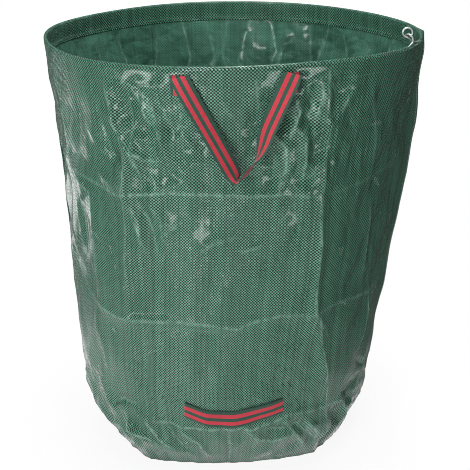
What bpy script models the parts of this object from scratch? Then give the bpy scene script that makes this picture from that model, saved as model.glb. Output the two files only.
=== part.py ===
"""Round garden waste bag of woven fabric.

A sheet sewn into a tube stands on a round base panel. Its top edge is folded in as a sleeve that
holds a hoop of spring wire, whose two ends hook together beside the side seam. Three webbing
handles are sewn on: one on the front and one on the back of the hem, and one low on the front
for tipping the bag out.

The front faces -Y, the side seam is at +X, and the bag stands on z = 0.
"""

import math

import bmesh
import bpy
from mathutils import Euler, Matrix, Vector

# Whole bag, in metres
BAG_HEIGHT = 0.760
RIM_DIAMETER = 0.670        # outside the hem
FABRIC = 0.0012             # thickness that the woven sheet is modelled with
GAP = 0.0003                # clearance between pieces that touch

# Wall
FLOOR_DIAMETER = 0.490      # outline where the wall meets the floor, at its upright folds
HEEL_DIAMETER = 0.552       # where the rounded foot of the wall ends
HEEL_HEIGHT = 0.090
FOOT_EDGE = 0.004           # height of the upright edge at the very foot
BARREL = 0.004              # how far the wall swells between heel and hem
FLOOR_LEAN = 0.016          # how far the foot stands to the left of the rim
LEAN_START = 0.120          # height below which the whole lean is reached
LEAN_END = 0.550            # height above which there is none
UPRIGHT_FOLDS = 6           # left by packing, with the side seam as one of them
FLOOR_DENT = 0.018          # how far a panel draws in between two folds at the floor
FLOOR_DENT_HEIGHT = 0.200   # height at which that dent has run out
PANEL_DENT = 0.004          # how far a panel draws in at mid height
SEAM_PINCH = 0.006          # how far the side seam stands out
SEAM_SPREAD = 0.030         # width of the pinch on each side of the seam

# Doubled edge inside the foot, where wall and base panel are sewn together
FOOT_SEAM_HEIGHT = 0.010

# Hem
HEM_DEPTH = 0.035
HEM_TAPER = 0.003           # how much smaller in radius the hem's lower edge is
HEM_UPRIGHT = 0.008         # height beside the wire that stays upright
SLIT_FROM = -30.0           # the slit where the wire comes out, in degrees from the side seam
SLIT_TO = -18.0

# Hoop
WIRE = 0.003                # diameter of its spring wire
EYE_DIAMETER = 0.019        # outside
EYE_ANGLE = -25.6           # degrees from the side seam
EYE_RISE = 0.021            # middle of the eye above the hoop
EYE_INSET = 0.0104          # middle of the eye inside the hoop

# Webbing
WEBBING_WIDTH = 0.030
WEBBING = 0.0015            # thickness
SELVEDGE = 0.0004           # rounding of its edges

# Carrying handles
HANDLE_SPACING = 0.174      # between the middles of its two sewn ends
HANDLE_OFFSET = 0.0045      # middle of the front handle to the right of the rim's middle
HANDLE_BELOW_RIM = 0.0135   # fold of the strap below the rim
HANDLE_PIVOT_RISE = 0.005   # pivot line above the middles of the slanted folds
HANDLE_DROP = 0.150         # fold of the strap to the foot of its loop
TAB_LENGTH = 0.032          # sewn end under the fold

# Tipping handle
LOWER_SPAN = 0.172
LOWER_OFFSET = 0.001
LOWER_HEIGHT = 0.140        # middle of its sewn ends
LOWER_SAG = 0.015
LOWER_TILT = 0.002          # right end higher than the left one
LOWER_SLACK = 14.0          # degrees that the strap's middle turns off the wall, foot first
LOWER_TAB_LENGTH = 0.024
LOWER_PIVOT_RISE = 0.003    # pivot line above the strap's higher end
LOWER_PIVOT_BACK = 0.009    # pivot line behind the strap's middle, towards its sewn ends

TURN_STEPS = 60             # facets round the bag

# Route of a carrying handle's loop: share of half the spacing, share of the drop, and the
# twist in degrees that takes its inner edge back to the bag at the foot of the loop
HANDLE_ROUTE = (
    (-0.945, 0.000, 0), (-0.925, 0.060, 8), (-0.850, 0.170, 18), (-0.674, 0.397, 25),
    (-0.500, 0.590, 28), (-0.352, 0.750, 33), (-0.215, 0.870, 37), (-0.130, 0.930, 48),
    (-0.040, 0.985, 72), (0.070, 1.000, 100), (0.216, 0.955, 118), (0.326, 0.875, 115),
    (0.390, 0.800, 108), (0.420, 0.714, 95), (0.445, 0.620, 70), (0.485, 0.512, 42),
    (0.590, 0.397, 25), (0.726, 0.224, 15), (0.870, 0.115, 8), (0.945, 0.055, 3),
    (0.965, 0.000, 0),
)

# Route of the tipping handle: share of half the span, share of the sag
LOWER_ROUTE = (
    (-1.00, 0.00), (-0.78, 0.46), (-0.56, 0.82), (-0.32, 1.00), (-0.05, 1.00), (0.19, 0.76),
    (0.52, 0.36), (0.80, 0.11), (1.00, 0.00),
)

# Wire beside the slit, in radii of the eye from the eye's middle: across, back, up
HOOK_ROUTE = (
    (-0.31, 0.75, -1.19), (-0.25, 0.56, -0.69), (0.00, 0.06, -0.40), (0.31, -0.31, -0.35),
    (0.75, -0.56, -0.62), (1.06, -0.69, -1.12), (1.06, -0.88, -1.81), (0.62, -1.38, -2.31),
    (0.06, -2.31, -2.56),
)
STEM_ROUTE = (
    (2.56, 3.25, -2.56), (1.81, 2.00, -2.31), (1.06, 0.94, -1.88), (0.56, 0.31, -1.40),
)
EYE_TURN = 328              # degrees of wire round the eye

RIM_RADIUS = RIM_DIAMETER / 2
HEM_BOTTOM = BAG_HEIGHT - HEM_DEPTH
WALL_TOP = HEM_BOTTOM - GAP
HEM_BOTTOM_RADIUS = RIM_RADIUS - HEM_TAPER
WIRE_CLEAR = FABRIC + GAP + WIRE / 2
HOOP_RADIUS = RIM_RADIUS - WIRE_CLEAR
HOOP_HEIGHT = BAG_HEIGHT - WIRE_CLEAR
HANDLE_FOLD = BAG_HEIGHT - HANDLE_BELOW_RIM
CENTRE_X = -SEAM_PINCH / 2  # keeps the seam's pinch and the far side equally far out


def clear_scene():
    for old in list(bpy.data.objects):
        bpy.data.objects.remove(old, do_unlink=True)


def make_collection(name):
    group = bpy.data.collections.new(name)
    bpy.context.scene.collection.children.link(group)
    return group


def make_material(name, colour, roughness, metallic=0.0):
    material = bpy.data.materials.new(name)
    material.use_nodes = True
    shader = material.node_tree.nodes["Principled BSDF"]
    shader.inputs["Base Color"].default_value = (*colour, 1.0)
    shader.inputs["Roughness"].default_value = roughness
    shader.inputs["Metallic"].default_value = metallic
    material.diffuse_color = (*colour, 1.0)
    return material


def add_object(name, data, material, location=(0, 0, 0), turn=(0, 0, 0)):
    """Link a mesh or curve as one named sub-part, placed from the middle of the rim."""
    piece = bpy.data.objects.new(name, data)
    data.materials.append(material)
    parts.objects.link(piece)
    piece.parent = bag_axis
    piece.location = location
    piece.rotation_euler = turn
    return piece


def smoothstep(value):
    value = min(max(value, 0.0), 1.0)
    return value * value * (3 - 2 * value)


def around(radius, angle, height):
    """Point at a radius, an angle in radians from the side seam, and a height."""
    return Vector((radius * math.cos(angle), radius * math.sin(angle), height))


# Form of the wall

def lean(height):
    """Sideways place of the wall's middle at a height."""
    return -FLOOR_LEAN * (1 - smoothstep((height - LEAN_START) / (LEAN_END - LEAN_START)))


def fold_radius(height):
    """Radius of the wall's outer face at its upright folds."""
    heel = HEEL_DIAMETER / 2
    if height < HEEL_HEIGHT:
        share = max(height - FOOT_EDGE, 0.0) / (HEEL_HEIGHT - FOOT_EDGE)
        foot = FLOOR_DIAMETER / 2
        return foot + (heel - foot) * (1 - (1 - share) ** 1.8)
    share = (height - HEEL_HEIGHT) / (HEM_BOTTOM - HEEL_HEIGHT)
    return heel + (HEM_BOTTOM_RADIUS - heel) * share + BARREL * math.sin(math.pi * share)


def panel_dent(height):
    low = max(1 - height / FLOOR_DENT_HEIGHT, 0.0)
    return FLOOR_DENT * low * low + PANEL_DENT * math.sin(math.pi * height / HEM_BOTTOM)


def seam_pinch(angle, radius):
    reach = abs(math.remainder(angle, 2 * math.pi)) * radius
    return SEAM_PINCH * max(1 - reach / SEAM_SPREAD, 0.0)


def wall_radius(angle, height):
    """Radius of the wall's outer face, measured from its leaning middle."""
    radius = fold_radius(height)
    dent = panel_dent(height) * abs(math.sin(angle * UPRIGHT_FOLDS / 2))
    return radius - dent + seam_pinch(angle, radius)


def wall_point(angle, height, inset=0.0):
    """Point on the wall's outer face, or an inset nearer to its middle."""
    return around(wall_radius(angle, height) - inset, angle, height) + Vector((lean(height), 0, 0))


def wall_front(x, height):
    """Point on the front of the wall's outer face at a sideways place and a height."""
    across = x - lean(height)
    angle = -math.pi / 2
    for _ in range(8):
        angle = -math.acos(across / wall_radius(angle, height))
    return wall_point(angle, height)


def front_normal(x, height):
    """Outward direction of the front of the wall, averaged over a webbing's width."""
    step = WEBBING_WIDTH / 2
    along = wall_front(x + step, height) - wall_front(x - step, height)
    upwards = wall_front(x, height + step) - wall_front(x, height - step)
    return along.cross(upwards).normalized()


# Turned pieces

def turned(profile):
    """Turn a line of (radius, height) points round the z axis."""
    shape = bmesh.new()
    verts = [shape.verts.new((radius, 0, height)) for radius, height in profile]
    edges = [shape.edges.new(pair) for pair in zip(verts, verts[1:])]
    bmesh.ops.spin(
        shape, geom=verts + edges, cent=(0, 0, 0), axis=(0, 0, 1),
        angle=2 * math.pi, steps=TURN_STEPS, use_merge=True,
    )
    bmesh.ops.remove_doubles(shape, verts=shape.verts, dist=1e-5)
    bmesh.ops.recalc_face_normals(shape, faces=shape.faces)
    return shape


def finish_mesh(shape, name, sharp=30):
    mesh = bpy.data.meshes.new(name)
    shape.to_mesh(mesh)
    shape.free()
    mesh.shade_smooth()
    mesh.set_sharp_from_angle(angle=math.radians(sharp))
    return mesh


def face_outwards(shape, face, direction):
    """Turn an open sheet's faces so that one of them looks along a direction."""
    if face.normal.dot(direction) < 0:
        bmesh.ops.reverse_faces(shape, faces=shape.faces)


def thicken(piece, thickness):
    """Give a sheet its thickness, behind its outer face."""
    solid = piece.modifiers.new("thickness", "SOLIDIFY")
    solid.thickness = thickness
    solid.offset = -1.0
    solid.use_even_offset = True
    solid.use_quality_normals = True


def make_wall(material):
    """The sheet from the floor to the hem, drawn in between its upright packing folds."""
    foot = [FOOT_EDGE + (HEEL_HEIGHT - FOOT_EDGE) * share for share in (0.2, 0.5, 1.0)]
    body = [HEEL_HEIGHT + (WALL_TOP - HEEL_HEIGHT) * step / 8 for step in range(1, 9)]
    shape = turned([(1.0, height) for height in [0.0, FOOT_EDGE, *foot, *body]])
    for vert in shape.verts:
        vert.co = wall_point(math.atan2(vert.co.y, vert.co.x), vert.co.z)
    shape.normal_update()
    front = min(shape.faces, key=lambda face: face.calc_center_median().y)
    face_outwards(shape, front, Vector((0, -1, 0)))
    wall = add_object("wall", finish_mesh(shape, "wall"), material)
    thicken(wall, FABRIC)
    return wall


def make_base(material):
    """The round panel that the bag stands on, cut to the inside of the wall's foot."""
    shape = turned([(0, 0), (1, 0), (1, FABRIC), (0, FABRIC)])
    for vert in shape.verts:
        if math.hypot(vert.co.x, vert.co.y) > 0.5:
            angle = math.atan2(vert.co.y, vert.co.x)
            edge = wall_point(angle, 0.0, inset=FABRIC + GAP)
            vert.co.x, vert.co.y = edge.x, edge.y
        else:
            vert.co.x = lean(0.0)
    return add_object("base_panel", finish_mesh(shape, "base_panel"), material)


def make_foot_seam(material):
    """Edges of wall and base panel, sewn together and turned up inside the foot."""
    bottom = FABRIC + GAP
    top = bottom + FOOT_SEAM_HEIGHT
    shape = turned([(2, bottom), (2, top), (1, top), (1, bottom), (2, bottom)])
    for vert in shape.verts:
        inside = math.hypot(vert.co.x, vert.co.y) < 1.5
        angle = math.atan2(vert.co.y, vert.co.x)
        inset = FABRIC + GAP + (2 * FABRIC if inside else 0.0)
        edge = wall_point(angle, 0.0, inset)
        vert.co.x, vert.co.y = edge.x, edge.y
    return add_object("foot_seam", finish_mesh(shape, "foot_seam"), material)


def make_hem(material):
    """The sheet's top edge, folded inwards over the hoop and down again as a sleeve."""
    inner_radius = HOOP_RADIUS - WIRE / 2 - GAP - FABRIC
    fold = (RIM_RADIUS - inner_radius) / 2
    middle = RIM_RADIUS - fold
    spring_line = BAG_HEIGHT - fold
    arc = [
        (middle + fold * math.cos(turn), spring_line + fold * math.sin(turn))
        for turn in (math.radians(step * 30) for step in range(7))
    ]
    outer = [(HEM_BOTTOM_RADIUS, HEM_BOTTOM), (RIM_RADIUS, BAG_HEIGHT - HEM_UPRIGHT)]
    shape = turned([*outer, *arc, (inner_radius, HEM_BOTTOM)])
    top = max(shape.faces, key=lambda face: face.calc_center_median().z)
    face_outwards(shape, top, Vector((0, 0, 1)))

    # Over the slit only the outer layer goes on, and the two ends of the wire come out
    inner_layer = (inner_radius + HEM_BOTTOM_RADIUS) / 2
    slit = []
    for face in shape.faces:
        place = face.calc_center_median()
        opened = SLIT_FROM < math.degrees(math.atan2(place.y, place.x)) < SLIT_TO
        if opened and (place.z > spring_line or place.xy.length < inner_layer):
            slit.append(face)
    bmesh.ops.delete(shape, geom=slit, context="FACES")

    for vert in shape.verts:
        radius = vert.co.xy.length
        if radius > inner_layer:
            angle = math.atan2(vert.co.y, vert.co.x)
            below_top = min((BAG_HEIGHT - vert.co.z) / fold, 1.0)
            pinched = radius + seam_pinch(angle, radius) * below_top ** 2
            vert.co = around(pinched, angle, vert.co.z)
    hem = add_object("rim_hem", finish_mesh(shape, "rim_hem", sharp=40), material)
    thicken(hem, FABRIC)
    return hem


# Swept pieces

def smooth_route(points, steps):
    """Points on a smooth curve through chosen points, each a Vector of any length."""
    ends = [2 * points[0] - points[1], *points, 2 * points[-1] - points[-2]]
    route = []
    for before, here, there, after in zip(ends, ends[1:], ends[2:], ends[3:]):
        for step in range(steps):
            t = step / steps
            route.append(0.5 * (
                2 * here + (there - before) * t
                + (2 * before - 5 * here + 4 * there - after) * t * t
                + (3 * here - before - 3 * there + after) * t * t * t
            ))
    route.append(points[-1])
    return route


def make_wire(name, points, diameter):
    """Round wire along a list of points."""
    curve = bpy.data.curves.new(name, "CURVE")
    curve.dimensions = "3D"
    curve.use_fill_caps = True
    spline = curve.splines.new("POLY")
    spline.points.add(len(points) - 1)
    for index, place in enumerate(points):
        spline.points[index].co = (*place, 1)
    spline.use_smooth = True
    curve.bevel_depth = diameter / 2
    curve.bevel_resolution = 2
    return curve


def make_hoop(material):
    """Spring wire round the rim: a hook on one end goes through an eye on the other."""
    ring = (EYE_DIAMETER - WIRE) / 2
    eye = around(HOOP_RADIUS - EYE_INSET, math.radians(EYE_ANGLE), HOOP_HEIGHT + EYE_RISE)
    turn_step = 360 / TURN_STEPS
    hoop_turns = round((360 - (SLIT_TO - SLIT_FROM)) / turn_step)
    hoop = [
        around(HOOP_RADIUS, math.radians(SLIT_FROM - step * turn_step), HOOP_HEIGHT)
        for step in range(hoop_turns + 1)
    ]
    hook = [eye + ring * Vector(place) for place in HOOK_ROUTE]
    stem = [eye + ring * Vector(place) for place in STEM_ROUTE]
    loop_steps = 20
    loop = []
    for step in range(loop_steps + 1):
        turn = math.radians(-90 - EYE_TURN * step / loop_steps)
        loop.append(eye + ring * Vector((math.cos(turn), 0, math.sin(turn))))
    hook_end = smooth_route([*hook, hoop[0]], 3)
    stem_end = smooth_route([hoop[-1], *stem, loop[0]], 3)
    curve = make_wire("rim_hoop", [*hook_end, *hoop[1:-1], *stem_end, *loop[1:]], WIRE)
    return add_object("rim_hoop", curve, material)


def make_strap(name, points, widths, material, location, turn=(0, 0, 0)):
    """Loft the webbing's section, with its rounded edges, along points.

    widths holds the direction from the strap's lower edge to its upper one at each point.
    """
    half, deep = WEBBING_WIDTH / 2, WEBBING / 2
    section = (
        (-deep, -half + SELVEDGE), (-deep, half - SELVEDGE), (-deep + SELVEDGE, half),
        (deep - SELVEDGE, half), (deep, half - SELVEDGE), (deep, -half + SELVEDGE),
        (deep - SELVEDGE, -half), (-deep + SELVEDGE, -half),
    )
    shape = bmesh.new()
    rings = []
    for index, place in enumerate(points):
        before = points[max(index - 1, 0)]
        after = points[min(index + 1, len(points) - 1)]
        tangent = (after - before).normalized()
        outwards = tangent.cross(widths[index]).normalized()
        upwards = outwards.cross(tangent)
        rings.append([
            shape.verts.new(place + outwards * out + upwards * up) for out, up in section
        ])
    for ring, following in zip(rings, rings[1:]):
        for corner in range(len(section)):
            beside = (corner + 1) % len(section)
            shape.faces.new((ring[corner], ring[beside], following[beside], following[corner]))
    shape.faces.new(rings[0])
    shape.faces.new(rings[-1])
    bmesh.ops.recalc_face_normals(shape, faces=shape.faces)
    return add_object(name, finish_mesh(shape, name), material, location, turn)


def make_tab(name, length, width, material, middle, outwards, upwards):
    """Sewn end of a handle: a flat piece of webbing, length along upwards."""
    across = upwards.cross(outwards).normalized()
    upwards = outwards.cross(across).normalized()
    shape = bmesh.new()
    bmesh.ops.create_cube(shape, size=1.0)
    bmesh.ops.scale(shape, vec=(width, WEBBING, length), verts=shape.verts)
    bmesh.ops.bevel(
        shape, geom=shape.edges[:], offset=SELVEDGE, segments=1, profile=0.5,
        affect="EDGES", material=-1,
    )
    frame = Matrix((across, -outwards, upwards)).transposed()
    tab = add_object(name, finish_mesh(shape, name), material, middle)
    tab.rotation_euler = frame.to_euler()
    return tab


# Handles

def hem_or_wall_radius(height):
    """Outer radius at a height near the rim, where the hem or the wall carries a tab."""
    if height < HEM_BOTTOM:
        return fold_radius(height)
    share = (height - HEM_BOTTOM) / (HEM_DEPTH - HEM_UPRIGHT)
    return HEM_BOTTOM_RADIUS + HEM_TAPER * min(share, 1.0)


def handle_tab_frame(x):
    """Middle and outward direction of the tab whose middle is at a sideways place."""
    upper = hem_or_wall_radius(HANDLE_FOLD) + GAP
    lower = hem_or_wall_radius(HANDLE_FOLD - TAB_LENGTH) + 2 * GAP
    slope = (upper - lower) / TAB_LENGTH
    angle = -math.acos(x / upper)
    outwards = (around(1, angle, 0) - Vector((0, 0, slope))).normalized()
    middle = around((upper + lower) / 2, angle, HANDLE_FOLD - TAB_LENGTH / 2)
    return middle + outwards * WEBBING / 2, outwards


def handle_plane():
    """How far in front of the rim's middle the front strap hangs, clear of both tabs."""
    reach = 0.0
    for side in (-1, 1):
        middle, outwards = handle_tab_frame(HANDLE_OFFSET + side * HANDLE_SPACING / 2)
        across = Vector((0, 0, 1)).cross(outwards).normalized()
        upwards = outwards.cross(across).normalized()
        for edge in (-1, 1):
            corner = middle + outwards * WEBBING / 2 + across * edge * WEBBING_WIDTH / 2
            reach = max(reach, -(corner + upwards * TAB_LENGTH / 2).y)
    return reach + GAP + WEBBING / 2


def make_carrying_handle(label, facing, material):
    """Two sewn tabs and the hanging loop; facing is 0 at the front and pi at the back."""
    about = Euler((0, 0, facing)).to_matrix()
    for side, side_name in ((-1, "left"), (1, "right")):
        middle, outwards = handle_tab_frame(HANDLE_OFFSET + side * HANDLE_SPACING / 2)
        make_tab(
            f"{label}_handle_tab_{side_name}", TAB_LENGTH, WEBBING_WIDTH, material,
            about @ middle, about @ outwards, Vector((0, 0, 1)),
        )
    chosen = [
        Vector((
            along * HANDLE_SPACING / 2, -HANDLE_PIVOT_RISE - down * HANDLE_DROP,
            math.radians(twist),
        ))
        for along, down, twist in HANDLE_ROUTE
    ]
    chosen = smooth_route(chosen, 3)
    points, widths = [], []
    for index, (x, z, twist) in enumerate(chosen):
        before = chosen[max(index - 1, 0)]
        after = chosen[min(index + 1, len(chosen) - 1)]
        inwards = Vector((before.y - after.y, 0, after.x - before.x)).normalized()
        back = Vector((0, 1, 0))
        points.append(Vector((x, -math.sin(twist) * WEBBING_WIDTH / 2, z)))
        widths.append(inwards * math.cos(twist) + back * math.sin(twist))
    pivot = about @ Vector((HANDLE_OFFSET, -handle_plane(), HANDLE_FOLD + HANDLE_PIVOT_RISE))
    make_strap(f"{label}_handle", points, widths, material, pivot, (0, 0, facing))


def make_tipping_handle(material):
    """Two tabs sewn flat to the wall, and the slack strap that lies over them."""
    tab_clear = 2 * GAP + WEBBING / 2
    strap_clear = tab_clear + WEBBING + 2 * GAP
    chosen = [
        Vector((along, LOWER_HEIGHT + along * LOWER_TILT / 2 - sag * LOWER_SAG))
        for along, sag in LOWER_ROUTE
    ]
    seats, points, widths = [], [], []
    for along, z in smooth_route(chosen, 3):
        x = LOWER_OFFSET + along * LOWER_SPAN / 2
        normal = front_normal(x, z)
        upwards = normal.cross(Vector((1, 0, 0))).normalized()
        slack = math.radians(LOWER_SLACK) * (1 - along * along)
        stand_off = strap_clear + math.sin(slack) * WEBBING_WIDTH / 2
        seats.append(wall_front(x, z))
        points.append(seats[-1] + normal * stand_off)
        widths.append(upwards * math.cos(slack) - normal * math.sin(slack))

    for side_name, end, inner in (("left", 0, 3), ("right", -1, -4)):
        along = (seats[end] - seats[inner]).normalized()
        middle = seats[end] - along * LOWER_TAB_LENGTH / 2
        normal = front_normal(middle.x, middle.z)
        seat = wall_front(middle.x, middle.z)
        upwards = normal.cross(along if along.x > 0 else -along)
        make_tab(
            f"lower_handle_tab_{side_name}", WEBBING_WIDTH, LOWER_TAB_LENGTH, material,
            seat + normal * tab_clear, normal, upwards,
        )

    lowest = min(points, key=lambda place: place.z)
    highest = max(points[0].z, points[-1].z) + WEBBING_WIDTH / 2
    pivot = Vector((LOWER_OFFSET, lowest.y + LOWER_PIVOT_BACK, highest + LOWER_PIVOT_RISE))
    make_strap("lower_handle", [place - pivot for place in points], widths, material, pivot)


clear_scene()
parts = make_collection("garden_waste_bag")
bag_axis = bpy.data.objects.new("bag_axis", None)
bag_axis.location = (CENTRE_X, 0, 0)
parts.objects.link(bag_axis)

woven_sheet = make_material("woven_sheet", (0.045, 0.16, 0.105), 0.5)
base_sheet = make_material("base_sheet", (0.05, 0.17, 0.115), 0.5)
doubled_edge = make_material("doubled_edge", (0.035, 0.13, 0.085), 0.6)
hem_sheet = make_material("hem_sheet", (0.05, 0.18, 0.12), 0.5)
spring_wire = make_material("spring_wire", (0.62, 0.62, 0.60), 0.25, 1.0)
webbing = make_material("webbing", (0.55, 0.07, 0.09), 0.85)

make_wall(woven_sheet)
make_base(base_sheet)
make_foot_seam(doubled_edge)
make_hem(hem_sheet)
make_hoop(spring_wire)
make_carrying_handle("front", 0.0, webbing)
make_carrying_handle("back", math.pi, webbing)
make_tipping_handle(webbing)
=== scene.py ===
"""Garden waste bag of woven tape fabric, dressed over its CAD frame.

The front faces -Y, the side seam is at +X, and the bag stands on z = 0. Lengths are in metres.
"""

import math

import bmesh
import bpy
import numpy as np
from mathutils import Matrix, Vector


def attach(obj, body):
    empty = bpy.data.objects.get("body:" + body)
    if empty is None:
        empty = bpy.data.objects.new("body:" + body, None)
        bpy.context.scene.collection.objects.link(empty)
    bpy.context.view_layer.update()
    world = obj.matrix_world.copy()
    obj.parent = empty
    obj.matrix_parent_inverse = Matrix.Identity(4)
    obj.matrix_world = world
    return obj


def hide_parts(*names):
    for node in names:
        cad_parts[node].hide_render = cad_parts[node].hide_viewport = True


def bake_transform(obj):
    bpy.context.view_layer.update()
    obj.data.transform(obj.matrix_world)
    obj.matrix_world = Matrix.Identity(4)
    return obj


# Sizes of the bag, as in its solids
BAG_HEIGHT = 0.760
RIM_RADIUS = 0.335
CENTRE_X = -0.003
ROUND = 0.31                # radius at which creases are measured round the bag
FABRIC = 0.0012
GAP = 0.0003
FLOOR_RADIUS = 0.245
HEEL_RADIUS = 0.276
HEEL_HEIGHT = 0.090
FOOT_EDGE = 0.004
BARREL = 0.004
FLOOR_LEAN = 0.016
LEAN_START = 0.120
LEAN_END = 0.550
SEAM_PINCH = 0.006
SEAM_SPREAD = 0.030
HEM_BOTTOM = 0.725
HEM_BOTTOM_RADIUS = 0.332
HEM_UPRIGHT = 0.008
HEM_FOLD = 0.003            # radius of the hem's bend over the wire
SPRING_LINE = BAG_HEIGHT - HEM_FOLD
HEM_INSET = FABRIC + 2 * GAP    # of the hem's sewn edge behind the outer face
SLIT = (-30.0, -18.0)       # degrees from the side seam, where the wire comes out
WIRE = 0.003
HOOP_RADIUS = 0.332
HOOP_HEIGHT = 0.757
EYE_RING = 0.008
EYE_ANGLE = -25.6
EYE_RISE = 0.021
EYE_INSET = 0.0104
EYE_TURN = 328
WEBBING_WIDTH = 0.030
WEBBING = 0.0015
HANDLE_HALF = 0.087
HANDLE_DROP = 0.150
HANDLE_OFFSET = 0.0045
HANDLE_FOLD = 0.7465
HANDLE_PIVOT_RISE = 0.005
HANDLE_PLANE = 0.33055
TAB_LENGTH = 0.032
LOWER_HALF = 0.086
LOWER_OFFSET = 0.001
LOWER_HEIGHT = 0.140
LOWER_SAG = 0.015
LOWER_TILT = 0.002
LOWER_SLACK = 14.0
LOWER_TAB_LENGTH = 0.024
THREAD = 0.0009

# Upright packing folds: height, and the angle in degrees at which the fold stands there.
# The two at the front wander, and the others stand where the bag was folded flat.
LEFT_FOLD = ((0.0, -124), (0.10, -127), (0.32, -126), (0.50, -124.5), (0.61, -122.5), (0.76, -128))
RIGHT_FOLD = ((0.0, -47), (0.16, -50), (0.23, -54), (0.32, -60.5), (0.53, -63), (0.76, -62))

# How flat a panel lies between two folds, by height: 0 is round and 1 is a straight board
FLATNESS = (
    (0.0, 0.55), (0.05, 0.33), (0.10, 0.20), (0.16, 0.17), (0.25, 0.32), (0.35, 0.42),
    (0.55, 0.40), (0.66, 0.22), (0.725, 0.0),
)

# The hoop doesn't lie quite flat: angle, rise and spread of each wave, in degrees and metres
RIM_WAVES = ((-140, -0.005, 28), (-65, 0.005, 30), (30, -0.0025, 30), (145, -0.004, 30))

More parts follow.
